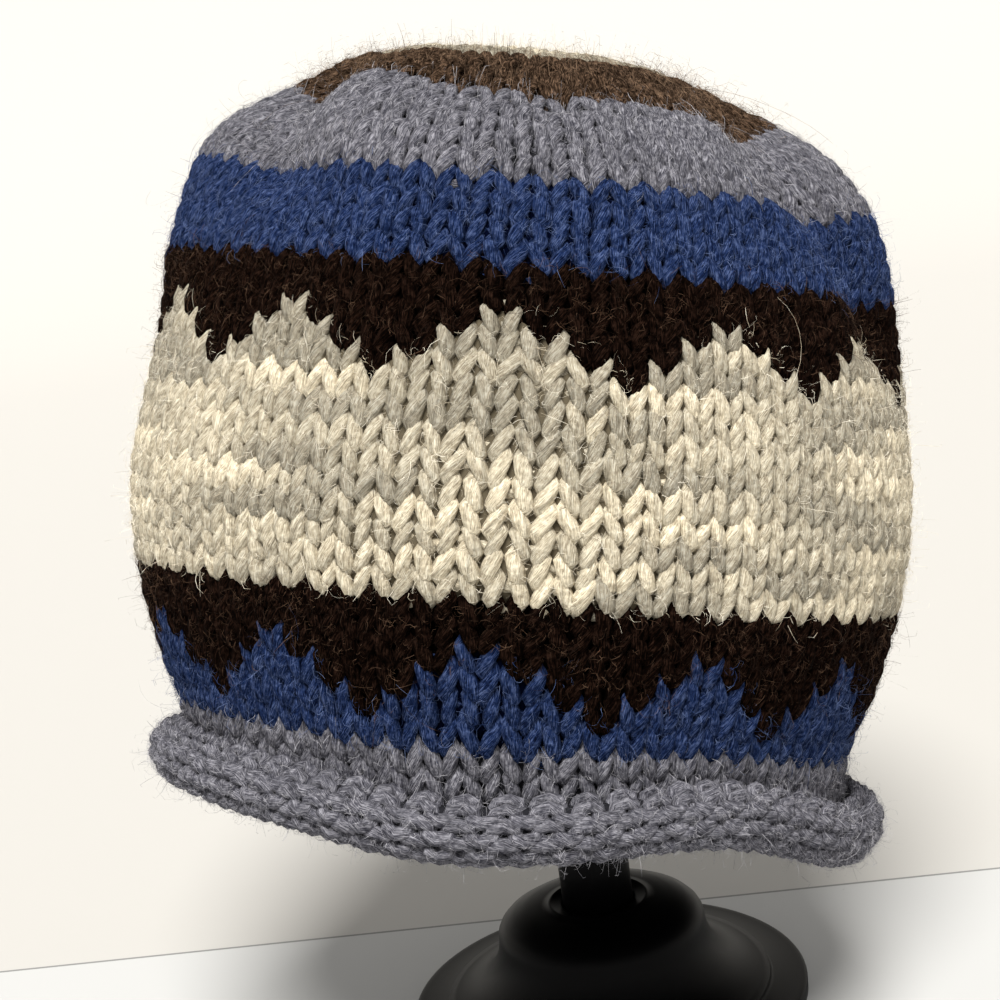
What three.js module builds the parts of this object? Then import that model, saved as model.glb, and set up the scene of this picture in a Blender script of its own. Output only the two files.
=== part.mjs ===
// A hand-knitted wool beanie with a rolled brim, on a plain black stand.
// Millimetres, +Z up. The origin is the centre of the stand's flat underside, and the hat's front faces -Y.
import * as THREE from "three";

// The hat
const HALF_WIDTH = 88; // outside, at its widest
const HALF_DEPTH = 88;
const HAT_HEIGHT = 161; // from the middle of the rolled brim to the crown's centre, along +Z
const BRIM_HEIGHT = 65; // middle of the rolled brim above the underside of the stand
const KNIT_THICKNESS = 4.5;
const ROLL_RADIUS = 7;
const YARN_GAP = 0.3; // between two stretches of yarn

// The stand
const FLANGE_RADIUS = 48;
const FLANGE_THICKNESS = 4;
const BELL_RADIUS = 39;
const CAP_RADIUS = 25;
const BASE_HEIGHT = 27;
const POST_RADIUS = 8.5;
const SOCKET_DEPTH = 9;
const DOME_THICKNESS = 3;
const SMALLER_HALF = Math.min(HALF_WIDTH, HALF_DEPTH);
const DOME_RIM_RADIUS = 0.52 * SMALLER_HALF; // the dome fills the crown of any size of hat
const DOME_RADIUS = (1.5 * SMALLER_HALF * SMALLER_HALF) / HAT_HEIGHT; // of its sphere, as round as the crown
const EDGE_ROUND = 1; // on the rim of the flange
const BELL_STEP = 2; // from the flange up to where the bell flares
const CAP_DROP = 5; // of the shallow cap's rounded edge
const CAP_FLAT_RADIUS = 16;
const BASE_SIDES = 44;
const POST_SIDES = 36;
const SEAT_GAP = 0.3; // between two pieces that rest on each other

// Rows are counted from the brim. up is a share of the hat's height, out and right of its half width, deep and
// back of its half depth. droop lowers the right side of the row and lean lowers its back, in degrees.
const SECTIONS = [
  { row: 0, up: 0, out: 0.845, deep: 0.845, right: -0.16, back: -0.14, droop: 14.5, lean: 14 },
  { row: 3, up: 0.08, out: 0.87, deep: 0.87, right: -0.148, back: -0.13, droop: 13.5, lean: 14.5 },
  { row: 6, up: 0.18, out: 0.935, deep: 0.935, right: -0.12, back: -0.09, droop: 13, lean: 13.5 },
  { row: 9, up: 0.276, out: 0.98, deep: 0.98, right: -0.09, back: -0.05, droop: 12.5, lean: 11.5 },
  { row: 13, up: 0.397, out: 1, deep: 1, right: -0.05, back: 0, droop: 12, lean: 10 },
  { row: 18, up: 0.554, out: 0.962, deep: 0.962, right: 0.01, back: 0.04, droop: 12, lean: 8.5 },
  { row: 23, up: 0.694, out: 0.91, deep: 0.91, right: 0.055, back: 0.08, droop: 12.5, lean: 7 },
  { row: 27, up: 0.814, out: 0.84, deep: 0.84, right: 0.093, back: 0.11, droop: 13, lean: 5 },
  { row: 29.5, up: 0.875, out: 0.745, deep: 0.745, right: 0.105, back: 0.12, droop: 13, lean: 5 },
  { row: 32, up: 0.922, out: 0.61, deep: 0.61, right: 0.11, back: 0.13, droop: 13, lean: 5 },
  { row: 35, up: 0.972, out: 0.43, deep: 0.43, right: 0.1, back: 0.14, droop: 12.5, lean: 5 },
  { row: 38, up: 0.995, out: 0.25, deep: 0.25, right: 0.09, back: 0.14, droop: 12, lean: 5 },
  { row: 42, up: 1, out: 0, deep: 0, right: 0.08, back: 0.14, droop: 12, lean: 5 },
];

// Each fold runs from one angle and row to another. Angles are degrees from the front towards +X. wide is in
// degrees, tall in rows past each end, deep is a share of the hat's half width, and a negative one stands out.
const FOLDS = [
  { name: "right crease", angle: 48, row: 29, toAngle: 64, toRow: 22, wide: 9, tall: 2.5, deep: 0.07 },
  { name: "right bulge", angle: 84, row: 30, toAngle: 88, toRow: 24, wide: 16, tall: 3, deep: -0.02 },
  { name: "crown crease", angle: 62, row: 33, toAngle: 50, toRow: 29, wide: 12, tall: 2, deep: 0.05 },
  { name: "left notch", angle: -62, row: 33, toAngle: -50, toRow: 27, wide: 11, tall: 2, deep: 0.06 },
  { name: "left crest", angle: -36, row: 32, toAngle: -34, toRow: 29, wide: 12, tall: 2, deep: -0.035 },
  { name: "left shoulder", angle: -88, row: 28, toAngle: -88, toRow: 23, wide: 18, tall: 2, deep: -0.025 },
  { name: "front crease", angle: 2, row: 31, toAngle: 3, toRow: 28, wide: 5, tall: 2, deep: 0.015 },
  { name: "hem tuck", angle: 74, row: 3, toAngle: 70, toRow: 1, wide: 8, tall: 1.5, deep: 0.02 },
  { name: "back crease", angle: 160, row: 33, toAngle: 168, toRow: 26, wide: 12, tall: 3, deep: 0.05 },
  { name: "back left crease", angle: -125, row: 32, toAngle: -118, toRow: 26, wide: 12, tall: 3, deep: 0.04 },
];

// Waves of the brim: how far it rises at an angle, as a share of the roll's radius. They fade out by WAVE_ROWS.
const BRIM_WAVES = [
  { angle: -70, wide: 22, rise: 0.2 },
  { angle: -14, wide: 16, rise: -0.35 },
  { angle: 31, wide: 19, rise: 0.7 },
  { angle: 66, wide: 13, rise: -0.25 },
  { angle: 130, wide: 25, rise: 0.4 },
  { angle: -140, wide: 25, rise: -0.3 },
];
const WAVE_ROWS = 7;

// The zigzag edges: rows that the lower yarn climbs above its valley, stitch by stitch round one peak.
const STITCHES_ROUND = 72;
const PEAK_ROWS = [0, 1, 2, 3, 2, 1];
const VALLEY_ANGLE = 9.5;
// The knitting is stretched sideways at the front: most degrees that a column moves, its middle and its reach.
const STRETCH = { most: 4.5, angle: -4, reach: 22 };

const BANDS = [
  { name: "hem", yarn: "grey", from: 0, to: 3, parts: 1 },
  { name: "blue_peaks", yarn: "blue", from: 3, to: 4, toPeaks: true, parts: 1 },
  { name: "brown_lower", yarn: "brown", from: 4, fromPeaks: true, to: 9, parts: 1 },
  { name: "cream_band", yarn: "cream", from: 9, to: 18, toPeaks: true, parts: 3 },
  { name: "brown_upper", yarn: "brown", from: 18, fromPeaks: true, to: 23, parts: 1 },
  { name: "blue_upper", yarn: "blue", from: 23, to: 27, parts: 2 },
  { name: "grey_upper", yarn: "grey", from: 27, to: 32, parts: 3 },
  { name: "brown_crown", yarn: "brown", from: 32, to: 36, parts: 2 },
];
const TIP = { name: "crown_tip", yarn: "cream", from: 36, to: 42, parts: 2 };

const yarnLook = (color) => new THREE.MeshStandardMaterial({ color, roughness: 0.95, metalness: 0 });
const LOOKS = {
  grey: yarnLook(0x86848e),
  blue: yarnLook(0x3a4d84),
  brown: yarnLook(0x2e1f18),
  cream: yarnLook(0xcfc5ad),
  stand: new THREE.MeshStandardMaterial({ color: 0x0c0c0d, roughness: 0.25, metalness: 0 }),
};

const radians = THREE.MathUtils.degToRad;
const vector = (x, y, z) => new THREE.Vector3(x, y, z);

// A smooth value between the sections, through each of them.
function between(row, column) {
  const last = SECTIONS.length - 1;
  const above = SECTIONS.findIndex((section) => section.row > row);
  const next = above < 0 ? last : Math.max(above, 1);
  const [low, high] = [SECTIONS[next - 1], SECTIONS[next]];
  const slope = (index) => {
    const before = SECTIONS[Math.max(index - 1, 0)];
    const after = SECTIONS[Math.min(index + 1, last)];
    return (after[column] - before[column]) / (after.row - before.row);
  };
  const span = high.row - low.row;
  const t = (row - low.row) / span;
  const turn = t * t * (3 - 2 * t);
  const leaving = t * (1 - t) * (1 - t) * slope(next - 1) * span;
  const arriving = t * t * (1 - t) * slope(next) * span;
  return low[column] * (1 - turn) + high[column] * turn + leaving - arriving;
}

// Middle of a row, and the directions to its right and to its back.
function rowFrame(row) {
  const droop = radians(between(row, "droop"));
  const lean = radians(between(row, "lean"));
  const up = BRIM_HEIGHT + HAT_HEIGHT * between(row, "up");
  return {
    middle: vector(HALF_WIDTH * between(row, "right"), HALF_DEPTH * between(row, "back"), up),
    right: vector(Math.cos(droop), 0, -Math.sin(droop)),
    back: vector(0, Math.cos(lean), -Math.sin(lean)),
  };
}

// How far round from one angle to another, in degrees either way.
const turnBetween = (from, to) => ((((to - from + 540) % 360) + 360) % 360) - 180;

function waveRise(angle, row) {
  const degrees = THREE.MathUtils.radToDeg(angle);
  const fade = Math.max(1 - row / WAVE_ROWS, 0) ** 2;
  let rise = 0;
  for (const wave of BRIM_WAVES) {
    const aside = turnBetween(wave.angle, degrees) / wave.wide;
    rise += wave.rise * Math.exp(-aside * aside);
  }
  return rise * ROLL_RADIUS * fade;
}

function smoothPoint(angle, row) {
  const { middle, right, back } = rowFrame(row);
  const out = HALF_WIDTH * between(row, "out") * Math.sin(angle);
  const deep = HALF_DEPTH * between(row, "deep") * Math.cos(angle);
  middle.z += waveRise(angle, row);
  return middle.addScaledVector(right, out).addScaledVector(back, -deep);
}

function smoothNormal(angle, row) {
  const [turn, climb] = [0.02, 0.05];
  const round = smoothPoint(angle + turn, row).sub(smoothPoint(angle - turn, row));
  const up = smoothPoint(angle, row + climb).sub(smoothPoint(angle, row - climb));
  return round.cross(up).normalize();
}

// How far all the folds press the knitting in at a place.
function foldDepth(angle, row) {
  const degrees = THREE.MathUtils.radToDeg(angle);
  let depth = 0;
  for (const fold of FOLDS) {
    const along = (row - fold.row) / (fold.toRow - fold.row);
    const inside = Math.min(Math.max(along, 0), 1);
    const past = (along - inside) * (fold.toRow - fold.row) / fold.tall;
    const line = fold.angle + (fold.toAngle - fold.angle) * inside;
    const aside = turnBetween(line, degrees) / fold.wide;
    depth += fold.deep * Math.exp(-aside * aside - past * past);
  }
  return depth * HALF_WIDTH;
}

function knitPoint(angle, row, inset) {
  const normal = smoothNormal(angle, row);
  return smoothPoint(angle, row).addScaledVector(normal, -inset - foldDepth(angle, row));
}

function columnAngle(column) {
  const even = VALLEY_ANGLE + (360 * column) / STITCHES_ROUND;
  const off = turnBetween(STRETCH.angle, even) / STRETCH.reach;
  return radians(even + STRETCH.most * off * Math.exp(-off * off));
}

// A closed body from a grid of points. Each station is a closed loop of points, and the stations close too.
function closedTube(stations) {
  const size = stations[0].length;
  const positions = stations.flat().flatMap((point) => point.toArray());
  const faces = [];
  stations.forEach((_, here) => {
    const there = (here + 1) % stations.length;
    for (let i = 0; i < size; i++) {
      const j = (i + 1) % size;
      const [a, b, c, d] = [here * size + i, there * size + i, there * size + j, here * size + j];
      faces.push(a, b, c, a, c, d);
    }
  });
  return solid(positions, faces);
}

function solid(positions, faces) {
  const geometry = new THREE.BufferGeometry();
  geometry.setAttribute("position", new THREE.Float32BufferAttribute(positions, 3));
  geometry.setIndex(faces);
  geometry.computeVertexNormals();
  return geometry;
}

function piece(name, geometry, look) {
  const mesh = new THREE.Mesh(geometry, look);
  mesh.name = name;
  return mesh;
}

const ROW_HEIGHT = HAT_HEIGHT / 36; // about what one row takes of the side
const ZIGZAG_CLIMB = 40; // degrees
const HALF_GAP_ROWS = YARN_GAP / ROW_HEIGHT / 2 / Math.cos(radians(ZIGZAG_CLIMB));

function edgeRow(row, peaks, column) {
  return row + (peaks ? PEAK_ROWS[column % PEAK_ROWS.length] : 0);
}

// A ring of knitting between two rows, with its outer and inner faces.
function bandPiece(band) {
  const stations = [];
  for (let column = 0; column < STITCHES_ROUND; column++) {
    const angle = columnAngle(column);
    const low = edgeRow(band.from, band.fromPeaks, column) + HALF_GAP_ROWS;
    const high = edgeRow(band.to, band.toPeaks, column) - HALF_GAP_ROWS;
    const rows = Array.from({ length: band.parts + 1 }, (_, i) => low + ((high - low) * i) / band.parts);
    const outer = rows.map((row) => knitPoint(angle, row, 0));
    const inner = rows.map((row) => knitPoint(angle, row, KNIT_THICKNESS)).reverse();
    stations.push([...outer, ...inner]);
  }
  return piece(band.name, closedTube(stations), LOOKS[band.yarn]);
}

// The crown's centre: rings that close in one point outside and one inside.
function tipPiece() {
  const rings = [];
  const addRing = (row, inset) => {
    const ring = [];
    for (let column = 0; column < STITCHES_ROUND; column += 2) {
      ring.push(knitPoint(columnAngle(column), row, inset));
    }
    rings.push(ring);
  };
  const low = TIP.from + HALF_GAP_ROWS;
  const rows = Array.from({ length: TIP.parts + 1 }, (_, i) => low + ((TIP.to - low) * i) / (TIP.parts + 1));
  const { middle, right, back } = rowFrame(TIP.to);
  const upright = right.clone().cross(back).normalize();
  rows.toReversed().forEach((row) => addRing(row, KNIT_THICKNESS));
  rows.forEach((row) => addRing(row, 0));
  const size = rings[0].length;
  const points = [...rings.flat(), middle.clone().addScaledVector(upright, -KNIT_THICKNESS), middle];
  const [insideTip, outsideTip] = [points.length - 2, points.length - 1];
  const faces = [];
  for (let i = 0; i < size; i++) {
    const j = (i + 1) % size;
    faces.push(insideTip, j, i);
    for (let ring = 0; ring < rings.length - 1; ring++) {
      const [near, far] = [ring * size, (ring + 1) * size];
      faces.push(near + i, far + j, far + i, near + i, near + j, far + j);
    }
    const top = (rings.length - 1) * size;
    faces.push(outsideTip, top + i, top + j);
  }
  return piece(TIP.name, solid(points.flatMap((point) => point.toArray()), faces), LOOKS[TIP.yarn]);
}

// The rolled brim: the knitting goes on from the hem, down, outwards and once round.
const ROLL_STEPS = 9;
const ROLL_START = 180; // degrees round the roll's middle, from its outer side over its top
const ROLL_SWEEP = 252;

function rollStation(column) {
  const angle = columnAngle(column);
  const { right, back } = rowFrame(0);
  const outwards = right.clone().multiplyScalar(Math.sin(angle)).addScaledVector(back, -Math.cos(angle));
  const upright = right.clone().cross(back).normalize();
  const middle = knitPoint(angle, 0, 0)
    .addScaledVector(outwards, ROLL_RADIUS - KNIT_THICKNESS)
    .addScaledVector(upright, -YARN_GAP);
  const at = (degrees, radius) => {
    const turn = radians(degrees);
    return middle
      .clone()
      .addScaledVector(outwards, radius * Math.cos(turn))
      .addScaledVector(upright, radius * Math.sin(turn));
  };
  const stops = Array.from({ length: ROLL_STEPS + 1 }, (_, i) => ROLL_START + (ROLL_SWEEP * i) / ROLL_STEPS);
  const outside = stops.map((degrees) => at(degrees, ROLL_RADIUS));
  const inside = stops.map((degrees) => at(degrees, ROLL_RADIUS - KNIT_THICKNESS)).reverse();
  return [...outside, ...inside];
}

function brimPiece() {
  const stations = Array.from({ length: STITCHES_ROUND }, (_, column) => rollStation(column));
  return piece("rolled_brim", closedTube(stations), LOOKS.grey);
}

// A body of revolution about +Z from a profile of radius and height that starts and ends on the axis.
function turned(name, profile, sides) {
  const points = profile.map(([radius, height]) => new THREE.Vector2(radius, height));
  const geometry = new THREE.LatheGeometry(points, sides);
  geometry.rotateX(Math.PI / 2);
  return piece(name, geometry, LOOKS.stand);
}

function standBase() {
  const bellFoot = FLANGE_THICKNESS + BELL_STEP;
  const shoulder = BASE_HEIGHT - CAP_DROP;
  const socket = POST_RADIUS + SEAT_GAP;
  const flare = (t) => [
    THREE.MathUtils.lerp(BELL_RADIUS, CAP_RADIUS, Math.sin((t * Math.PI) / 2)),
    THREE.MathUtils.lerp(bellFoot, shoulder, 1 - Math.cos((t * Math.PI) / 2)),
  ];
  const profile = [
    [0, 0],
    [FLANGE_RADIUS - EDGE_ROUND, 0],
    [FLANGE_RADIUS, EDGE_ROUND],
    [FLANGE_RADIUS - EDGE_ROUND, FLANGE_THICKNESS],
    [BELL_RADIUS + EDGE_ROUND / 2, FLANGE_THICKNESS],
    ...[0, 0.25, 0.5, 0.75, 1].map(flare),
    [(2 * CAP_RADIUS + CAP_FLAT_RADIUS) / 3, BASE_HEIGHT - 0.3 * CAP_DROP],
    [CAP_FLAT_RADIUS, BASE_HEIGHT],
    [socket, BASE_HEIGHT],
    [socket, BASE_HEIGHT - SOCKET_DEPTH],
    [0, BASE_HEIGHT - SOCKET_DEPTH],
  ];
  return turned("stand_base", profile, BASE_SIDES);
}

const RIM_MARGIN = 1.12; // how far past the dome's rim the crown's folds are kept clear of it

// The height of the dome's centre where its sphere just clears the inside of the crown above it.
function domeCentreHeight(crown) {
  const reach = DOME_RADIUS + SEAT_GAP;
  const width = DOME_RIM_RADIUS * RIM_MARGIN;
  let lowest = Infinity;
  const corners = [vector(0, 0, 0), vector(0, 0, 0), vector(0, 0, 0)];
  for (const mesh of crown) {
    const { index, attributes } = mesh.geometry;
    for (let face = 0; face < index.count; face += 3) {
      corners.forEach((corner, i) => corner.fromBufferAttribute(attributes.position, index.getX(face + i)));
      const middle = corners[0].clone().add(corners[1]).add(corners[2]).divideScalar(3);
      const halves = corners.map((corner, i) => corner.clone().lerp(corners[(i + 1) % 3], 0.5));
      for (const point of [...corners, ...halves, middle]) {
        const aside = Math.hypot(point.x, point.y);
        if (aside < width) {
          lowest = Math.min(lowest, point.z - Math.sqrt(reach * reach - aside * aside));
        }
      }
    }
  }
  return lowest;
}

function standPost(crown) {
  const centre = domeCentreHeight(crown);
  const onSphere = (radius, aside) => [aside, centre + Math.sqrt(radius * radius - aside * aside)];
  const shares = [0.25, 0.5, 0.75, 1];
  const inner = DOME_RADIUS - DOME_THICKNESS;
  const innerRim = DOME_RIM_RADIUS - DOME_THICKNESS / 2;
  const profile = [
    [0, BASE_HEIGHT - SOCKET_DEPTH + SEAT_GAP],
    [POST_RADIUS, BASE_HEIGHT - SOCKET_DEPTH + SEAT_GAP],
    onSphere(inner, POST_RADIUS),
    ...shares.slice(1).map((share) => onSphere(inner, innerRim * share)),
    ...shares.toReversed().map((share) => onSphere(DOME_RADIUS, DOME_RIM_RADIUS * share)),
    [0, centre + DOME_RADIUS],
  ];
  return turned("stand_post", profile, POST_SIDES);
}

const bands = BANDS.map(bandPiece);
const tip = tipPiece();
const crown = [...bands.slice(-3), tip];
const group = new THREE.Group();
group.add(brimPiece(), ...bands, tip, standBase(), standPost(crown));

export default group;
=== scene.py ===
import bpy
import numpy as np
from mathutils import Matrix, Vector


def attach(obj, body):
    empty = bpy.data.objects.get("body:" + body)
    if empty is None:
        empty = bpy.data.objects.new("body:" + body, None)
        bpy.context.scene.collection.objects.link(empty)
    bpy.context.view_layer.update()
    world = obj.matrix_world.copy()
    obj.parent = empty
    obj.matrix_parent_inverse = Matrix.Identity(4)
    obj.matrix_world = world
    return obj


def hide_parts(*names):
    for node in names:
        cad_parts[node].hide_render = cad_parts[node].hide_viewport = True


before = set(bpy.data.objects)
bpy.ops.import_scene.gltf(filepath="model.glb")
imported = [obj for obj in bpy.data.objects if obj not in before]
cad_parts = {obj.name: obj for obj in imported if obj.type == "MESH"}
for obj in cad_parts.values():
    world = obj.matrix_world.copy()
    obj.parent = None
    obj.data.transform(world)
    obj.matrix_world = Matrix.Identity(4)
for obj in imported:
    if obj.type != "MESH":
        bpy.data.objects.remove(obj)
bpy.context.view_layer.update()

MM = 0.001
TURN = 2 * np.pi
rng = np.random.default_rng(11)

# The hat's surface in millimetres, +Z up: the same rows, folds and waves as its solids
HALF_WIDTH = 88.0
HALF_DEPTH = 88.0
HAT_HEIGHT = 161.0
BRIM_HEIGHT = 65.0
KNIT_THICKNESS = 4.5
ROLL_RADIUS = 7.0
YARN_GAP = 0.3

SECTIONS = {
    "row": [0, 3, 6, 9, 13, 18, 23, 27, 29.5, 32, 35, 38, 42],
    "up": [0, 0.08, 0.18, 0.276, 0.397, 0.554, 0.694, 0.814, 0.875, 0.922, 0.972, 0.995, 1],
    "out": [0.845, 0.87, 0.935, 0.98, 1, 0.962, 0.91, 0.84, 0.745, 0.61, 0.43, 0.25, 0],
    "right": [-0.16, -0.148, -0.12, -0.09, -0.05, 0.01, 0.055, 0.093, 0.105, 0.11, 0.1, 0.09, 0.08],
    "back": [-0.14, -0.13, -0.09, -0.05, 0, 0.04, 0.08, 0.11, 0.12, 0.13, 0.14, 0.14, 0.14],
    "droop": [14.5, 13.5, 13, 12.5, 12, 12, 12.5, 13, 13, 13, 12.5, 12, 12],
    "lean": [14, 14.5, 13.5, 11.5, 10, 8.5, 7, 5, 5, 5, 5, 5, 5],
}

# angle, row, to angle, to row, degrees wide, rows tall, share of the half width deep
FOLDS = [
    (48, 29, 64, 22, 9, 2.5, 0.07),
    (84, 30, 88, 24, 16, 3, -0.02),
    (62, 33, 50, 29, 12, 2, 0.05),
    (-62, 33, -50, 27, 11, 2, 0.06),
    (-36, 32, -34, 29, 12, 2, -0.035),
    (-88, 28, -88, 23, 18, 2, -0.025),
    (2, 31, 3, 28, 5, 2, 0.015),
    (74, 3, 70, 1, 8, 1.5, 0.02),
    (160, 33, 168, 26, 12, 3, 0.05),
    (-125, 32, -118, 26, 12, 3, 0.04),
]

# angle, degrees wide, rise as a share of the roll's radius
BRIM_WAVES = [
    (-70, 22, 0.2),
    (-14, 16, -0.35),
    (31, 19, 0.7),
    (66, 13, -0.25),
    (130, 25, 0.4),
    (-140, 25, -0.3),
]
WAVE_ROWS = 7

STITCHES_ROUND = 72
PEAK_ROWS = [0, 1, 2, 3, 2, 1]
PEAK_STITCHES = len(PEAK_ROWS)
VALLEY_ANGLE = 9.5
STRETCH_MOST, STRETCH_ANGLE, STRETCH_REACH = 4.5, -4.0, 22.0

ROWS = np.array(SECTIONS["row"], float)
HIGHEST_NORMAL_ROW = 41.6
ANGLE_STEP, ROW_STEP = 0.02, 0.05


def between(row, column):
    """The smooth value of a column of SECTIONS at a row."""
    values = np.array(SECTIONS[column], float)
    last = len(ROWS) - 1
    high = np.clip(np.searchsorted(ROWS, row, side="right"), 1, last)
    low = high - 1

    def slope(index):
        before, after = np.maximum(index - 1, 0), np.minimum(index + 1, last)
        return (values[after] - values[before]) / (ROWS[after] - ROWS[before])

    span = ROWS[high] - ROWS[low]
    t = (row - ROWS[low]) / span
    turn = t * t * (3 - 2 * t)
    bend = t * (1 - t) ** 2 * slope(low) - t * t * (1 - t) * slope(high)
    return values[low] * (1 - turn) + values[high] * turn + bend * span


def turned(start, end):
    """Degrees from start to end, the shorter way round."""
    return (end - start + 540) % 360 - 180


def unit(vectors):
    return vectors / np.maximum(np.linalg.norm(vectors, axis=-1, keepdims=True), 1e-9)


def smooth_point(angle, row):
    droop, lean = np.radians(between(row, "droop")), np.radians(between(row, "lean"))
    out = HALF_WIDTH * between(row, "out") * np.sin(angle)
    deep = -HALF_DEPTH * between(row, "out") * np.cos(angle)
    wave = 0
    for middle, wide, rise in BRIM_WAVES:
        wave = wave + rise * np.exp(-(turned(middle, np.degrees(angle)) / wide) ** 2)
    wave = wave * ROLL_RADIUS * np.maximum(1 - row / WAVE_ROWS, 0) ** 2
    x = HALF_WIDTH * between(row, "right") + out * np.cos(droop)
    y = HALF_DEPTH * between(row, "back") + deep * np.cos(lean)
    z = BRIM_HEIGHT + HAT_HEIGHT * between(row, "up") + wave
    return np.stack([x, y, z - out * np.sin(droop) - deep * np.sin(lean)], -1)


def knit_normal(angle, row):
    row = np.minimum(row, HIGHEST_NORMAL_ROW)
    across = smooth_point(angle + ANGLE_STEP, row) - smooth_point(angle - ANGLE_STEP, row)
    along = smooth_point(angle, row + ROW_STEP) - smooth_point(angle, row - ROW_STEP)
    return unit(np.cross(across, along))


def fold_depth(angle, row):
    degrees = np.degrees(angle)
    depth = 0
    for start, low, end, high, wide, tall, deep in FOLDS:
        along = (row - low) / (high - low)
        inside = np.clip(along, 0, 1)
        past = (along - inside) * (high - low) / tall
        aside = turned(start + (end - start) * inside, degrees) / wide
        depth = depth + deep * np.exp(-aside * aside - past * past)
    return depth * HALF_WIDTH


def knit_point(angle, row, inset):
    """A point of the hat, inset millimetres inside its outer face."""
    depth = (inset + fold_depth(angle, row))[..., None]
    return smooth_point(angle, row) - knit_normal(angle, row) * depth


def column_angle(column):
    even = VALLEY_ANGLE + 360 * column / STITCHES_ROUND
    off = turned(STRETCH_ANGLE, even) / STRETCH_REACH
    return np.radians(even + STRETCH_MOST * off * np.exp(-off * off))


# The roll, unrolled: row 0 is its free edge and ROLL_ROWS is where it joins the hem
ROLL_ROWS = 7
ROLL_START, ROLL_SWEEP = 180.0, 252.0


def roll_point(angle, row, inset):
    zero = np.zeros_like(angle)
    droop, lean = np.radians(between(zero, "droop")), np.radians(between(zero, "lean"))
    right = np.stack([np.cos(droop), zero, -np.sin(droop)], -1)
    back = np.stack([zero, np.cos(lean), -np.sin(lean)], -1)
    outwards = right * np.sin(angle)[..., None] - back * np.cos(angle)[..., None]
    upright = unit(np.cross(right, back))
    middle = knit_point(angle, zero, zero) + outwards * (ROLL_RADIUS - KNIT_THICKNESS) - upright * YARN_GAP
    turn = np.radians(ROLL_START + ROLL_SWEEP * (1 - row / ROLL_ROWS))
    radius = ROLL_RADIUS - inset
    sideways, upwards = (radius * np.cos(turn))[..., None], (radius * np.sin(turn))[..., None]
    return middle + outwards * sideways + upright * upwards


def roll_normal(angle, row):
    zero = np.zeros_like(row)
    return unit(roll_point(angle, row, zero) - roll_point(angle, row, zero + 1.0))


# Meshes
def quad_mesh(name, points, faces):
    """A mesh of four-sided faces from points in millimetres."""
    mesh = bpy.data.meshes.new(name)
    mesh.vertices.add(len(points))
    mesh.vertices.foreach_set("co", (points * MM).astype(np.float32).ravel())
    mesh.loops.add(faces.size)
    mesh.loops.foreach_set("vertex_index", faces.ravel().astype(np.int32))
    mesh.polygons.add(len(faces))
    mesh.polygons.foreach_set("loop_start", np.arange(0, faces.size, 4, dtype=np.int32))
    return mesh


def placed(name, mesh, materials):
    for material in materials:
        mesh.materials.append(material)
    made = bpy.data.objects.new(name, mesh)
    bpy.context.scene.collection.objects.link(made)
    return made


def keep(made, node_name):
    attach(made, "root")
    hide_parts(node_name)


class Yarn:
    """One piece's mesh, gathered from grids of points."""

    def __init__(self):
        self.points, self.faces, self.shell = [], [], []
        self.tones, self.along, self.heights = [], [], []
        self.size = 0

    def grid(self, points, tone, along, height, closed_long=False, shell=False, flip=False):
        """points is (long, round, 3). tone, along and height are one value for each long step."""
        length, around = points.shape[:2]
        index = np.arange(length * around).reshape(length, around) + self.size
        rows = np.arange(length if closed_long else length - 1)
        a, b = np.meshgrid(rows, np.arange(around), indexing="ij")
        a2, b2 = (a + 1) % length, (b + 1) % around
        quads = np.stack([index[a, b], index[a2, b], index[a2, b2], index[a, b2]], -1).reshape(-1, 4)
        self.faces.append(quads[:, ::-1] if flip else quads)
        self.points.append(points.reshape(-1, 3))
        self.tones.append(np.repeat(tone, around))
        self.heights.append(np.repeat(height, around))
        turn = np.tile(np.arange(around) / around * TURN, length)
        self.along.append(np.stack([np.cos(turn), np.sin(turn), np.repeat(along, around)], -1))
        self.shell.append(np.full(len(quads), shell))
        self.size += length * around

    def build(self, name, materials):
        mesh = quad_mesh(name, np.concatenate(self.points), np.concatenate(self.faces))
        mesh.polygons.foreach_set("material_index", np.concatenate(self.shell).astype(np.int32))
        mesh.update(calc_edges=True)
        mesh.validate()
        mesh.shade_smooth()
        for key, values in (("tone", self.tones), ("height", self.heights)):
            made = mesh.attributes.new(key, "FLOAT", "POINT")
            made.data.foreach_set("value", np.concatenate(values).astype(np.float32))
        made = mesh.attributes.new("along", "FLOAT_VECTOR", "POINT")
        made.data.foreach_set("vector", np.concatenate(self.along).astype(np.float32).ravel())
        return placed(name, mesh, materials)


# One stitch of yarn. LEG_LEAN is how far a leg leans in stitches, and LOOP_HALF half a loop's height in rows.
# SWAY is how far the yarn goes in and out in millimetres, one number for each cosine of the loop.
LEG_LEAN = 0.222
LOOP_HALF = 0.92
MIDDLE_INSET = 2.3
SWAY = [0, -0.12, 0.98, 0.12, 0.06]
STEPS = 12
SIDES = 7
YARN_WIDE = 1.6
YARN_DEEP = 1.5
HEAD_THICKER, ENDS_THINNER = 0.03, 0.24
ROLL_YARN = 0.94

# Small unevenness of hand knitting, one value for each stitch of each row
LATTICE_ROWS = 64
COLUMN_VARIES, ROW_VARIES, INSET_VARIES, WIDTH_VARIES, LEAN_VARIES = 0.035, 0.055, 0.12, 0.08, 0.16
PURL_VARIES = 0.5
LEAN_ROW_SHIFT = 7
YARN_OF_A_ROW = 97.0
lattice = rng.normal(0, 1, (4, LATTICE_ROWS, STITCHES_ROUND))


def uneven(kind, row, column, stitches):
    values = lattice[kind, int(row) % LATTICE_ROWS, :stitches]
    size = len(values)
    place = np.mod(column, size)
    low = np.floor(place).astype(int)
    share = place - low
    share = share * share * (3 - 2 * share)
    return values[low % size] * (1 - share) + values[(low + 1) % size] * share


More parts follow.
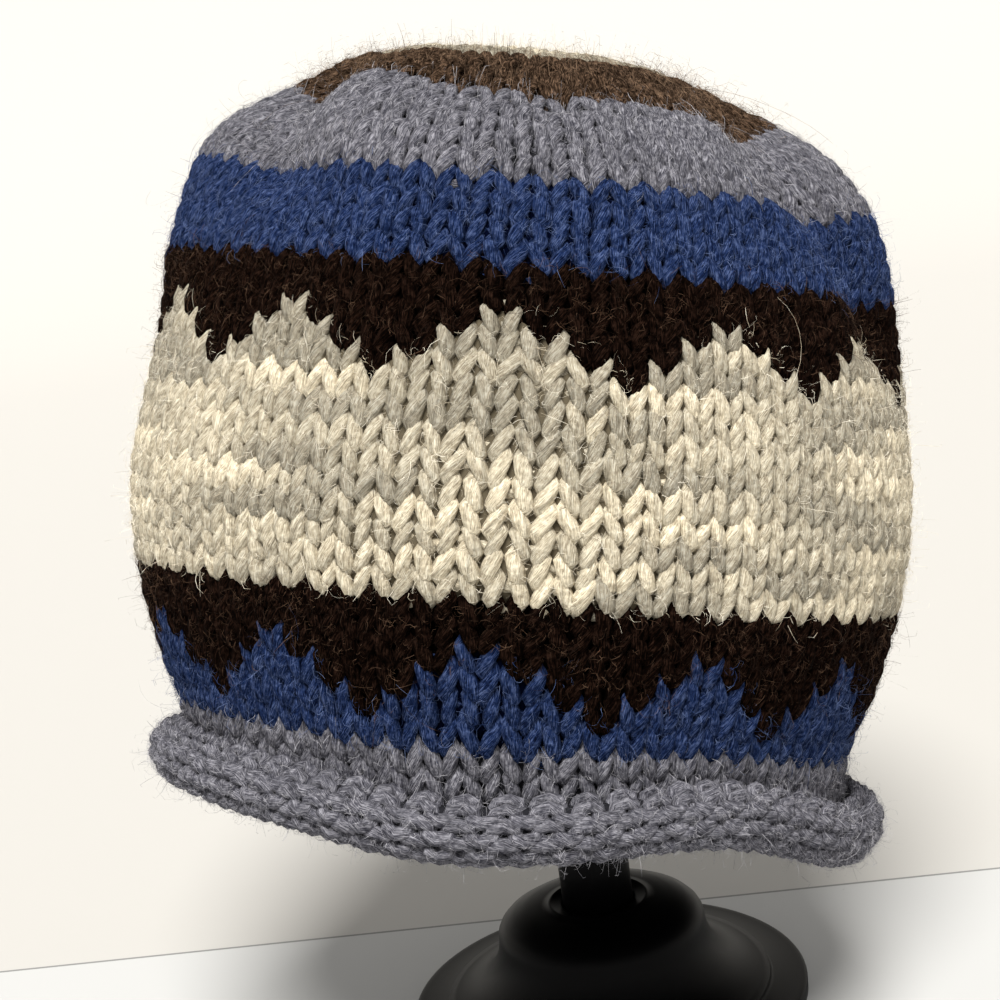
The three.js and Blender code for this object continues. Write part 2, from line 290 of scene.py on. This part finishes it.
def tube(yarn, centre, normal, wide, deep, tone, along, height, closed):
    ahead = np.gradient(centre, axis=0)
    if closed:
        ahead[0] = ahead[-1] = centre[1] - centre[-2]
    ahead = unit(ahead)
    side = unit(np.cross(ahead, normal))
    up = np.cross(side, ahead)
    turn = np.arange(SIDES) / SIDES * TURN
    sideways = side[:, None] * (wide[:, None] * np.cos(turn))[..., None]
    upwards = up[:, None] * (deep[:, None] * np.sin(turn))[..., None]
    yarn.grid(centre[:, None] + (sideways + upwards), tone, along, height, flip=True)


def knit_run(yarn, row, run, surface, normal_at, angle_of, stitches, purl=False, size=1.0):
    """run is the first stitch, the number of stitches and whether they close a round."""
    first, count, closed = run
    t = np.arange(count * STEPS + 1) / STEPS
    phase = t * TURN
    here = first + t
    varies = PURL_VARIES if purl else 1.0
    lean = LEG_LEAN * (1 + LEAN_VARIES * varies * uneven(3, row + LEAN_ROW_SHIFT, here, stitches))
    aside = COLUMN_VARIES * varies * uneven(0, row, here, stitches)
    column = here - 0.5 + lean * np.sin(2 * phase) + aside
    height = row + 0.5 - LOOP_HALF * np.cos(phase) + ROW_VARIES * varies * uneven(1, row, here, stitches)
    sway = sum(share * np.cos(times * phase) for times, share in enumerate(SWAY))
    if purl:
        sway = -sway
    inset = MIDDLE_INSET + sway + INSET_VARIES * varies * uneven(2, row, here, stitches)
    angle = angle_of(column)
    centre = surface(angle, height, inset)
    normal = normal_at(angle, height)
    taper = 0 if purl else HEAD_THICKER * np.cos(phase) - ENDS_THINNER * np.cos(phase) ** 4
    width = size * (1 + WIDTH_VARIES * uneven(3, row, here, stitches) + taper)
    tone = row * STITCHES_ROUND + here
    length = np.concatenate([[0], np.cumsum(np.linalg.norm(np.diff(centre, axis=0), axis=1))])
    along = length + YARN_OF_A_ROW * row
    tube(yarn, centre, normal, YARN_WIDE * width, YARN_DEEP * width, tone, along, height, closed)


# Bands of the hat: high_peaks makes the zigzag a band's upper edge, and low_peaks its lower edge
BANDS = {
    "hem": {"yarn": "grey", "from": 0, "to": 3},
    "blue_peaks": {"yarn": "blue", "from": 3, "to": 4, "high_peaks": True},
    "brown_lower": {"yarn": "brown", "from": 4, "low_peaks": True, "to": 9},
    "cream_band": {"yarn": "cream", "from": 9, "to": 18, "high_peaks": True},
    "brown_upper": {"yarn": "brown", "from": 18, "low_peaks": True, "to": 23},
    "blue_upper": {"yarn": "blue", "from": 23, "to": 27},
    "grey_upper": {"yarn": "grey", "from": 27, "to": 32},
    "brown_crown": {"yarn": "crown brown painted lighter", "from": 32, "to": 36},
    "crown_tip": {"yarn": "cream", "from": 36, "to": 42},
}
FIRST_DECREASE, FULL_ROUND_ROW, LAST_COUNT_ROW = 31, 28.5, 41.0
FEWEST_STITCHES = 8


def crown_count(row):
    """Stitches in a row: fewer from FIRST_DECREASE on, as the crown closes, and always an even number."""
    if row < FIRST_DECREASE:
        return STITCHES_ROUND
    full = between(np.array([FULL_ROUND_ROW]), "out")[0]
    share = between(np.array([min(row + 0.5, LAST_COUNT_ROW)]), "out")[0] / full
    return max(int(round(STITCHES_ROUND * share / 2)) * 2, FEWEST_STITCHES)


def edges(band, peak):
    """A band's lowest and highest row where the zigzag has risen by peak rows."""
    low = band["from"] + (peak if band.get("low_peaks") else 0)
    high = band["to"] + (peak if band.get("high_peaks") else 0)
    return low, high


def band_runs(band, row):
    """Runs of neighbouring stitches of a row that this band's yarn knits."""
    inside = []
    for column in range(STITCHES_ROUND):
        low, high = edges(band, PEAK_ROWS[column % PEAK_STITCHES])
        inside.append(low <= row < high)
    if all(inside):
        return [(0, STITCHES_ROUND, True)]
    runs = []
    for column in range(STITCHES_ROUND):
        if inside[column] and not inside[column - 1]:
            count = 1
            while inside[(column + count) % STITCHES_ROUND]:
                count += 1
            runs.append((column, count, False))
    return runs


def knit_band(name, band, materials):
    yarn = Yarn()
    for row in range(band["from"], band["to"] + max(PEAK_ROWS)):
        count = crown_count(row)
        if count == STITCHES_ROUND:
            for run in band_runs(band, row):
                knit_run(yarn, row, run, knit_point, knit_normal, column_angle, count)
        elif row < band["to"]:
            spread = STITCHES_ROUND / count
            knit_run(yarn, row, (0, count, True), knit_point, knit_normal,
                     lambda column, spread=spread: column_angle(column * spread), count)
    add_sheet(yarn, band)
    return yarn.build(name, materials)


# A sheet between the front and the back of the loops, so that no light comes through; its colour is painted
# shade, far darker than the yarn, and shows in the gaps between the loops
SHEET_INSETS = (2.1, 2.7)
ROLL_SHEET_INSETS = (2.0, 2.6)
HIGHEST_SHEET_ROW = 41.9
FEWEST_SHEET_PARTS = 3
ROLL_SHEET_FROM, ROLL_SHEET_RINGS = 0.1, 15
sheet_columns = np.arange(STITCHES_ROUND * 2) / 2
sheet_angles = column_angle(sheet_columns)


def close_sheet(yarn, rings):
    yarn.grid(np.stack(rings, 1), sheet_columns, sheet_columns, sheet_columns, closed_long=True, shell=True)


def add_sheet(yarn, band):
    climb = np.interp(np.mod(sheet_columns, PEAK_STITCHES), np.arange(PEAK_STITCHES + 1), PEAK_ROWS + [0.0])
    low, high = edges(band, climb)
    parts = max(int(band["to"] - band["from"]), FEWEST_SHEET_PARTS)
    rings = []
    for inset, start, end in ((SHEET_INSETS[0], 0, 1), (SHEET_INSETS[1], 1, 0)):
        for share in np.linspace(start, end, parts + 1):
            row = np.minimum(low + (high - low) * share, HIGHEST_SHEET_ROW)
            row = np.broadcast_to(row, sheet_columns.shape)
            rings.append(knit_point(sheet_angles, row, np.full(sheet_columns.shape, inset)))
    close_sheet(yarn, rings)


def knit_roll(materials):
    yarn = Yarn()
    for row in range(ROLL_ROWS):
        knit_run(yarn, row, (0, STITCHES_ROUND, True), roll_point, roll_normal, column_angle,
                 STITCHES_ROUND, purl=True, size=ROLL_YARN)
    rows = np.linspace(ROLL_SHEET_FROM, ROLL_ROWS, ROLL_SHEET_RINGS)
    rings = []
    for inset, order in ((ROLL_SHEET_INSETS[0], rows), (ROLL_SHEET_INSETS[1], rows[::-1])):
        for row in order:
            full = np.ones(sheet_columns.shape)
            rings.append(roll_point(sheet_angles, row * full, inset * full))
    close_sheet(yarn, rings)
    return yarn.build("knit_roll", materials)


# Materials
PLY_PITCH = 24.0
# Painted shade: the colour in the grooves between the plies is darkened to this share
GROOVE_PAINTED_SHADE = 0.68
FIBRE_STRETCH = (9.0, 9.0, 0.5)
SPECK_SCALE = 900.0
FIBRE_SHARE, SPECK_SHARE = 0.68, 0.32
DRIFT_SCALE, DRIFT_RISE = 0.13, 0.16
PLY_RELIEF, FIBRE_RELIEF, SPECK_RELIEF = 0.8, 0.8, 0.7
RELIEF_DEPTH = 0.0006
HAIR_SPOT_SCALE = 330.0


def node(tree, kind, **values):
    made = tree.nodes.new(kind)
    for key, value in values.items():
        setattr(made, key, value)
    return made


def maths(tree, operation, first, second=None):
    made = node(tree, "ShaderNodeMath", operation=operation)
    for socket, value in zip(made.inputs, (first, second)):
        if value is None:
            continue
        if isinstance(value, (int, float)):
            socket.default_value = value
        else:
            tree.links.new(value, socket)
    return made.outputs[0]


def ramp(tree, factor, stops):
    made = node(tree, "ShaderNodeValToRGB")
    elements = made.color_ramp.elements
    while len(elements) < len(stops):
        elements.new(0.5)
    for element, (place, color) in zip(elements, stops):
        element.position = place
        element.color = (*color, 1)
    tree.links.new(factor, made.inputs[0])
    return made.outputs[0]


def mixed(tree, kind, factor, first, second):
    made = node(tree, "ShaderNodeMix", data_type="RGBA", blend_type=kind)
    for socket, value in ((made.inputs[0], factor), (made.inputs[6], first), (made.inputs[7], second)):
        if isinstance(value, (int, float)):
            socket.default_value = value
        elif isinstance(value, tuple):
            socket.default_value = (*value, 1)
        else:
            tree.links.new(value, socket)
    return made.outputs[2]


def noise(tree, vector, scale, detail, distortion=0.0):
    made = node(tree, "ShaderNodeTexNoise", noise_dimensions="3D")
    made.inputs["Scale"].default_value = scale
    made.inputs["Detail"].default_value = detail
    made.inputs["Distortion"].default_value = distortion
    tree.links.new(vector, made.inputs["Vector"])
    return made.outputs["Fac"]


def plain(name, color, roughness, specular):
    material = bpy.data.materials.new(name)
    material.use_nodes = True
    shader = material.node_tree.nodes["Principled BSDF"]
    shader.inputs["Base Color"].default_value = (*color, 1)
    shader.inputs["Roughness"].default_value = roughness
    shader.inputs["Specular IOR Level"].default_value = specular
    return material


def drifted(tree, color, slow, slow_rows):
    """color with a slow change of shade along the yarn, and more of it from slow_rows on."""
    tone = node(tree, "ShaderNodeAttribute", attribute_name="tone").outputs["Fac"]
    height = node(tree, "ShaderNodeAttribute", attribute_name="height").outputs["Fac"]
    drift = node(tree, "ShaderNodeTexNoise", noise_dimensions="1D")
    drift.inputs["Scale"].default_value = DRIFT_SCALE
    drift.inputs["Detail"].default_value = 2.0
    tree.links.new(tone, drift.inputs["W"])
    risen = node(tree, "ShaderNodeMapRange")
    tree.links.new(height, risen.inputs["Value"])
    risen.inputs["From Min"].default_value, risen.inputs["From Max"].default_value = slow_rows
    risen.inputs["To Max"].default_value = DRIFT_RISE
    total = maths(tree, "ADD", drift.outputs["Fac"], risen.outputs["Result"])
    share = ramp(tree, total, [(0.4, (0, 0, 0)), (0.64, (1, 1, 1))])
    return mixed(tree, "MIX", share, color, mixed(tree, "MULTIPLY", 1.0, color, slow))


def wool(name, dark, mid, light, shine, slow=None, slow_rows=None):
    """Plied yarn with fibres in dark, mid and light. slow is the colour of its long change of shade."""
    material = plain(name, mid, 0.9, shine)
    tree = material.node_tree
    shader = tree.nodes["Principled BSDF"]
    place = node(tree, "ShaderNodeTexCoord").outputs["Object"]
    along = node(tree, "ShaderNodeAttribute", attribute_name="along").outputs["Vector"]
    split = node(tree, "ShaderNodeSeparateXYZ")
    tree.links.new(along, split.inputs[0])
    # Two plies wind round each other once in PLY_PITCH millimetres
    wind = node(tree, "ShaderNodeVectorRotate", rotation_type="Z_AXIS")
    tree.links.new(along, wind.inputs["Vector"])
    tree.links.new(maths(tree, "MULTIPLY", split.outputs[2], TURN / PLY_PITCH), wind.inputs["Angle"])
    wound = node(tree, "ShaderNodeSeparateXYZ")
    tree.links.new(wind.outputs[0], wound.inputs[0])
    ply = maths(tree, "ABSOLUTE", wound.outputs[0])
    stretched = node(tree, "ShaderNodeVectorMath", operation="MULTIPLY")
    tree.links.new(wind.outputs[0], stretched.inputs[0])
    stretched.inputs[1].default_value = FIBRE_STRETCH
    fibres = noise(tree, stretched.outputs[0], 1.0, 3.0, 0.7)
    specks = noise(tree, place, SPECK_SCALE, 4.0)
    heather = maths(tree, "ADD", maths(tree, "MULTIPLY", fibres, FIBRE_SHARE),
                    maths(tree, "MULTIPLY", specks, SPECK_SHARE))
    color = ramp(tree, heather, [(0.38, dark), (0.5, mid), (0.62, light)])
    if slow:
        color = drifted(tree, color, slow, slow_rows)
    # Painted shade: the colour is darkened in the grooves between the two plies
    painted_shade = ramp(tree, ply, [(0.0, (GROOVE_PAINTED_SHADE,) * 3), (0.4, (1, 1, 1))])
    color = mixed(tree, "MULTIPLY", 1.0, color, painted_shade)
    tree.links.new(color, shader.inputs["Base Color"])
    relief = maths(tree, "ADD", maths(tree, "MULTIPLY", ply, PLY_RELIEF),
                   maths(tree, "MULTIPLY", fibres, FIBRE_RELIEF))
    relief = maths(tree, "ADD", relief, maths(tree, "MULTIPLY", specks, SPECK_RELIEF))
    bump = node(tree, "ShaderNodeBump")
    bump.inputs["Strength"].default_value = 1.0
    bump.inputs["Distance"].default_value = RELIEF_DEPTH
    tree.links.new(relief, bump.inputs["Height"])
    tree.links.new(bump.outputs[0], shader.inputs["Normal"])
    return material


def loose(name, low, high):
    """Loose fibres, some of them paler."""
    material = plain(name, low, 0.8, 0.1)
    tree = material.node_tree
    place = node(tree, "ShaderNodeTexCoord").outputs["Object"]
    spots = noise(tree, place, HAIR_SPOT_SCALE, 1.0)
    color = ramp(tree, spots, [(0.42, low), (0.62, high)])
    tree.links.new(color, tree.nodes["Principled BSDF"].inputs["Base Color"])
    return material


# The sheet inside the loops: a dark matte colour that is painted shade
def inside(name, color):
    return plain(name, color, 1.0, 0.0)


# Each yarn's slot, its wool, the sheet inside the loops in painted shade, and its loose fibres
YARNS = {
    "grey": (
        "wool_grey",
        wool("grey wool", (0.03, 0.03, 0.04), (0.11, 0.108, 0.128), (0.3, 0.295, 0.33), 0.04),
        inside("grey wool inside, painted shade", (0.015, 0.015, 0.018)),
        loose("grey hairs", (0.15, 0.15, 0.17), (0.45, 0.44, 0.47)),
    ),
    "blue": (
        "wool_blue",
        wool("blue wool", (0.002, 0.0045, 0.018), (0.01, 0.022, 0.075), (0.07, 0.1, 0.21), 0.03),
        inside("blue wool inside, painted shade", (0.001, 0.002, 0.009)),
        loose("blue hairs", (0.02, 0.04, 0.12), (0.12, 0.16, 0.29)),
    ),
    "brown": (
        "wool_brown",
        wool("brown wool", (0.0008, 0.0004, 0.0002), (0.0032, 0.0014, 0.0009), (0.024, 0.012, 0.008), 0.01),
        inside("brown wool inside, painted shade", (0.001, 0.0006, 0.0004)),
        loose("brown hairs", (0.01, 0.005, 0.003), (0.11, 0.064, 0.04)),
    ),
    # The crown's wool, hairs and inside sheet are a lighter copy of the brown: painted light from above on
    # the top of the hat, and partly the paler felted look of the wool there
    "crown brown painted lighter": (
        "wool_brown",
        wool("brown wool of the crown",
             (0.004, 0.002, 0.0012), (0.03, 0.018, 0.011), (0.16, 0.1, 0.065), 0.01),
        inside("brown wool of the crown inside, painted shade", (0.002, 0.001, 0.0006)),
        loose("brown hairs of the crown painted lighter", (0.03, 0.018, 0.011), (0.26, 0.17, 0.11)),
    ),
    "cream": (
        "wool_cream",
        wool("cream wool", (0.37, 0.31, 0.22), (0.68, 0.595, 0.44), (0.94, 0.865, 0.69), 0.05,
             slow=(0.5, 0.51, 0.53), slow_rows=(15.0, 19.0)),
        inside("cream wool inside, painted shade", (0.1, 0.083, 0.056)),
        loose("cream hairs", (0.5, 0.43, 0.32), (0.92, 0.86, 0.73)),
    ),
}

for name, band in BANDS.items():
    slot_name, yarn_wool, painted_shade, hair = YARNS[band["yarn"]]
    keep(knit_band("knit_" + name, band, [yarn_wool, painted_shade]), name)
slot_name, yarn_wool, painted_shade, hair = YARNS["grey"]
keep(knit_roll([yarn_wool, painted_shade]), "rolled_brim")

# Loose fibres: thin curved ribbons that start in the yarn and lie along it or stand off it, in millimetres
HAIR_POINTS = 4
FARTHEST_HAIR = 7.0
HIGHEST_HAIR_ROW = 41.5
STITCH_WIDTH = 7.7
ROW_HEIGHT, ROLL_ROW_HEIGHT = 4.2, 4.6
BEND = 2.2
LENGTH_SHAPE, LENGTH_SCALE = 3.0, 0.9
LIFT_SHAPE, LIFT_SCALE, LOW_LIFT = 2.2, 0.75, 0.7
DEEPEST_ROOT = 1.5
STANDING_ARCH, LYING_ARCH = 0.6 * np.pi, 0.85 * np.pi
THINNEST, THICKEST, TIP_THINNER = 0.018, 0.042, 0.5


def hairs(count, band, surface, normal_at, row_height, reach, standing, points=HAIR_POINTS):
    """reach is a scale of length, and standing the share of fibres that stand off."""
    start_column = rng.uniform(0, STITCHES_ROUND, count)
    low, high = edges(band, np.array(PEAK_ROWS)[start_column.astype(int) % PEAK_STITCHES])
    start_row = low + (high - low) * rng.random(count)
    heading = rng.uniform(0, TURN, count)
    bend = rng.normal(0, BEND, count)
    length = rng.gamma(LENGTH_SHAPE, LENGTH_SCALE, count) * reach
    flying = rng.random(count) < standing
    lift = np.where(flying, rng.gamma(LIFT_SHAPE, LIFT_SCALE, count), rng.uniform(0.0, LOW_LIFT, count))
    lift = np.minimum(lift * reach, FARTHEST_HAIR)
    root = rng.uniform(0.0, DEEPEST_ROOT, count)
    steps = np.linspace(0, 1, points)[:, None]
    turn = heading + bend * steps
    column = start_column + np.cumsum(np.cos(turn) * length / points, 0) / STITCH_WIDTH
    row = start_row + np.cumsum(np.sin(turn) * length / points, 0) / row_height
    row = np.minimum(row, HIGHEST_HAIR_ROW)
    arch = np.where(flying, np.sin(steps * STANDING_ARCH), np.sin(steps * LYING_ARCH))
    centre = surface(column_angle(column), row, root - (lift + root) * arch)
    normal = normal_at(column_angle(column), row)
    ahead = unit(np.gradient(centre, axis=0))
    lean = rng.uniform(0, np.pi, count)
    side = unit(np.cross(ahead, normal)) * np.cos(lean)[:, None] + normal * np.sin(lean)[:, None]
    half = rng.uniform(THINNEST, THICKEST, count) * (1 - TIP_THINNER * steps)
    return np.stack([centre - side * half[..., None], centre + side * half[..., None]], 1)


def fuzz(name, material, points):
    """points is (steps, 2 edges, hairs, 3)."""
    steps, _, count, _ = points.shape
    order = np.arange(steps * 2 * count).reshape(steps, 2, count)
    corners = [order[:-1, 0], order[:-1, 1], order[1:, 1], order[1:, 0]]
    mesh = quad_mesh(name, points.reshape(-1, 3), np.stack(corners, -1).reshape(-1, 4))
    mesh.update(calc_edges=True)
    made = placed(name, mesh, [material])
    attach(made, "root")


# Fibres of a piece, scale of length, share of them that stand off, and long stray fibres
FUZZ = {
    "hem": (4600, 1.0, 0.2, 8),
    "blue_peaks": (4300, 1.0, 0.22, 0),
    "brown_lower": (5700, 1.0, 0.2, 8),
    "cream_band": (15500, 1.0, 0.22, 22),
    "brown_upper": (6000, 1.05, 0.25, 0),
    "blue_upper": (6800, 1.0, 0.25, 10),
    "grey_upper": (7200, 1.0, 0.25, 10),
    "brown_crown": (7400, 1.2, 0.45, 14),
    "crown_tip": (2200, 1.3, 0.4, 0),
}
STRAY_REACH, STRAY_STANDING, STRAY_POINTS = 5.5, 0.8, 12
ROLL_FUZZ = (9500, 1.0, 0.25)
ROLL_FUZZ_BAND = {"from": 0.3, "to": ROLL_ROWS - 1.5}

for name, band in BANDS.items():
    slot_name, yarn_wool, painted_shade, hair = YARNS[band["yarn"]]
    count, reach, standing, strays = FUZZ[name]
    points = hairs(count, band, knit_point, knit_normal, ROW_HEIGHT, reach, standing)
    fuzz("fuzz_" + name, hair, points)
    if strays:
        points = hairs(strays, band, knit_point, knit_normal, ROW_HEIGHT,
                       STRAY_REACH, STRAY_STANDING, STRAY_POINTS)
        fuzz("strays_" + name, hair, points)
slot_name, yarn_wool, painted_shade, hair = YARNS["grey"]
count, reach, standing = ROLL_FUZZ
points = hairs(count, ROLL_FUZZ_BAND, roll_point, roll_normal, ROLL_ROW_HEIGHT, reach, standing)
fuzz("fuzz_roll", hair, points)

# The stand: turned bodies with rounded edges. Profiles are radius and height in millimetres.
ROUND_STEPS = 96
NECK_RADIUS, NECK_FOOT = 8.5, 18.3
DOME_OUTER, DOME_INNER = 72.0, 69.0
DOME_RIM, DOME_INNER_RIM = 45.7, 44.2
FLARE_TOP_RADIUS, FLARE_FOOT_RADIUS, FLARE_FOOT, FLARE_RISE = 25.0, 39.0, 6.0, 14.5
FLANGE_FOOT = [(46.6, 0)]
FLANGE_STEP = [(46, 4.05), (39.9, 4.05), (39.4, 4.3), (39.1, 5.0)]
CAP = [(24.8, 21.6), (24.2, 22.8), (22.8, 24.2), (20.6, 25.4), (17.5, 26.3), (14, 26.8), (12.3, 26.9)]
NECK_RING = [(12.1, 27.3), (11.5, 27.4), (11.2, 27.1)]
SOCKET = [(9.3, 27), (8.8, 26.6), (8.8, 20)]


def lathe(name, profile, material, node_name):
    turn = np.arange(ROUND_STEPS) / ROUND_STEPS * TURN
    profile = np.array(profile, float)
    radius, height = profile[:, :1], np.repeat(profile[:, 1:], ROUND_STEPS, 1)
    points = np.stack([radius * np.cos(turn), radius * np.sin(turn), height], -1)
    faces = []
    for low in range(0, (len(profile) - 1) * ROUND_STEPS, ROUND_STEPS):
        high = low + ROUND_STEPS
        for j in range(ROUND_STEPS):
            k = (j + 1) % ROUND_STEPS
            faces.append((low + j, low + k, high + k, high + j))
    faces.append(tuple(range(ROUND_STEPS))[::-1])
    last = (len(profile) - 1) * ROUND_STEPS
    faces.append(tuple(range(last, last + ROUND_STEPS)))
    mesh = bpy.data.meshes.new(name)
    mesh.from_pydata((points.reshape(-1, 3) * MM).tolist(), [], faces)
    mesh.shade_smooth()
    keep(placed(name, mesh, [material]), node_name)


def arc(middle, radius, start, end, steps):
    turn = np.radians(np.linspace(start, end, steps))
    return [(middle[0] + radius * np.cos(t), middle[1] + radius * np.sin(t)) for t in turn]


gloss = plain("black plastic", (0.001, 0.001, 0.0012), 0.4, 0.06)
flare = []
for t in np.linspace(0, np.pi / 2, 14):
    radius = FLARE_FOOT_RADIUS - (FLARE_FOOT_RADIUS - FLARE_TOP_RADIUS) * np.sin(t)
    flare.append((radius, FLARE_FOOT + FLARE_RISE * (1 - np.cos(t))))
flange_edge = arc((46.8, 0.9), 0.9, -90, 0, 4) + arc((47, 3.2), 0.8, 0, 90, 5)
base_profile = FLANGE_FOOT + flange_edge + FLANGE_STEP + flare + CAP + NECK_RING + SOCKET
lathe("stand_base_look", base_profile, gloss, "stand_base")

dome_top = max(v.co.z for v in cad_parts["stand_post"].data.vertices) / MM
sphere = dome_top - DOME_OUTER
under = [(r, sphere + np.sqrt(DOME_INNER**2 - r * r)) for r in np.linspace(NECK_RADIUS, DOME_INNER_RIM, 12)]
over = [(r, sphere + np.sqrt(DOME_OUTER**2 - r * r)) for r in np.linspace(DOME_RIM, 0.5, 16)]
post_profile = [(NECK_RADIUS, NECK_FOOT), (NECK_RADIUS, 40), (NECK_RADIUS, 80)] + under + over
lathe("stand_post_look", post_profile, gloss, "stand_post")

# A pale floor in metres that rises softly far away on all sides, with a faint line of painted shade behind
# the stand, as in the crease where a table meets a backdrop
FLAT_RADIUS, RISE_RADIUS, RISE_ANGLE, WALL_WIDTH = 1.3, 1.6, 52.0, 1.5
SEAM_POINT, SEAM_TURN, SEAM_HALF = (0.1079, 0.0429), np.radians(-4.8), 0.0005
ACROSS_SEAM = (-np.sin(SEAM_TURN), np.cos(SEAM_TURN), 0.0)
IN_FRONT, BEHIND, SEAM_PAINTED_SHADE = (0.43, 0.43, 0.425), (0.42, 0.408, 0.388), (0.2, 0.2, 0.195)
FLOOR_GLOW = 0.17


def floor_look():
    material = plain("pale floor", IN_FRONT, 0.75, 0.15)
    tree = material.node_tree
    shader = tree.nodes["Principled BSDF"]
    across = node(tree, "ShaderNodeVectorMath", operation="DOT_PRODUCT")
    tree.links.new(node(tree, "ShaderNodeTexCoord").outputs["Object"], across.inputs[0])
    across.inputs[1].default_value = ACROSS_SEAM
    past = maths(tree, "SUBTRACT", across.outputs["Value"], float(np.dot(ACROSS_SEAM[:2], SEAM_POINT)))
    behind = maths(tree, "GREATER_THAN", past, 0.0)
    # Painted shade: a thin darker line where the colour changes from in front to behind
    on_painted_seam = maths(tree, "LESS_THAN", maths(tree, "ABSOLUTE", past), SEAM_HALF)
    color = mixed(tree, "MIX", on_painted_seam, mixed(tree, "MIX", behind, IN_FRONT, BEHIND), SEAM_PAINTED_SHADE)
    tree.links.new(color, shader.inputs["Base Color"])
    tree.links.new(color, shader.inputs["Emission Color"])
    shader.inputs["Emission Strength"].default_value = FLOOR_GLOW
    return material


floor_rings = [(0.3, 0.0), (FLAT_RADIUS, 0.0)]
for turn in np.radians(np.linspace(4, RISE_ANGLE, 13)):
    floor_rings.append((FLAT_RADIUS + RISE_RADIUS * np.sin(turn), RISE_RADIUS * (1 - np.cos(turn))))
radius, rise = floor_rings[-1]
floor_rings.append((radius + WALL_WIDTH, rise + WALL_WIDTH * np.tan(np.radians(RISE_ANGLE))))
turns = np.arange(ROUND_STEPS) / ROUND_STEPS * TURN
corners = [(0.0, 0.0, 0.0)]
for radius, rise in floor_rings:
    corners.extend((radius * np.cos(turn), radius * np.sin(turn), rise) for turn in turns)
following = [(i + 1) % ROUND_STEPS for i in range(ROUND_STEPS)]
faces = [(0, 1 + i, 1 + k) for i, k in enumerate(following)]
for first in range(1, 1 + (len(floor_rings) - 1) * ROUND_STEPS, ROUND_STEPS):
    second = first + ROUND_STEPS
    faces.extend((first + i, second + i, second + k, first + k) for i, k in enumerate(following))
floor_mesh = bpy.data.meshes.new("floor")
floor_mesh.from_pydata(corners, [], faces)
floor_mesh.shade_smooth()
floor = placed("floor", floor_mesh, [floor_look()])

# Light: pale surroundings and one soft lamp from above the front
world = bpy.data.worlds.new("soft room")
world.use_nodes = True
world.node_tree.nodes["Background"].inputs["Color"].default_value = (1.0, 0.985, 0.955, 1)
world.node_tree.nodes["Background"].inputs["Strength"].default_value = 0.22
bpy.context.scene.world = world
bpy.context.scene.view_settings.view_transform = "Standard"

key = bpy.data.lights.new("key", "SUN")
key.energy = 6.3
key.angle = np.radians(26)
key.color = (1, 0.985, 0.95)
key_lamp = bpy.data.objects.new("key", key)
key_lamp.rotation_euler = Vector((0.02, 0.5, -0.86)).to_track_quat("-Z", "Y").to_euler()
bpy.context.scene.collection.objects.link(key_lamp)

# The camera looks down by PITCH and is rolled by ROLLED
PITCH, ROLLED = np.radians(12.5), np.radians(8.0)
CAMERA_PLACE = (-0.010, -0.430, 0.2229)
SENSOR_WIDTH, LENS, NEAREST = 36.0, 69.12, 0.01

ahead = np.array([0, np.cos(PITCH), -np.sin(PITCH)])
level = np.array([1.0, 0, 0])
above = np.cross(level, ahead)
right = level * np.cos(ROLLED) - above * np.sin(ROLLED)
up = above * np.cos(ROLLED) + level * np.sin(ROLLED)
camera_data = bpy.data.cameras.new("camera")
camera_data.sensor_width = SENSOR_WIDTH
camera_data.lens = LENS
camera_data.clip_start = NEAREST
camera = bpy.data.objects.new("camera", camera_data)
matrix = Matrix.Identity(4)
for i in range(3):
    matrix[i][0], matrix[i][1], matrix[i][2] = right[i], up[i], -ahead[i]
    matrix[i][3] = CAMERA_PLACE[i]
camera.matrix_world = matrix
bpy.context.scene.collection.objects.link(camera)
bpy.context.scene.camera = camera
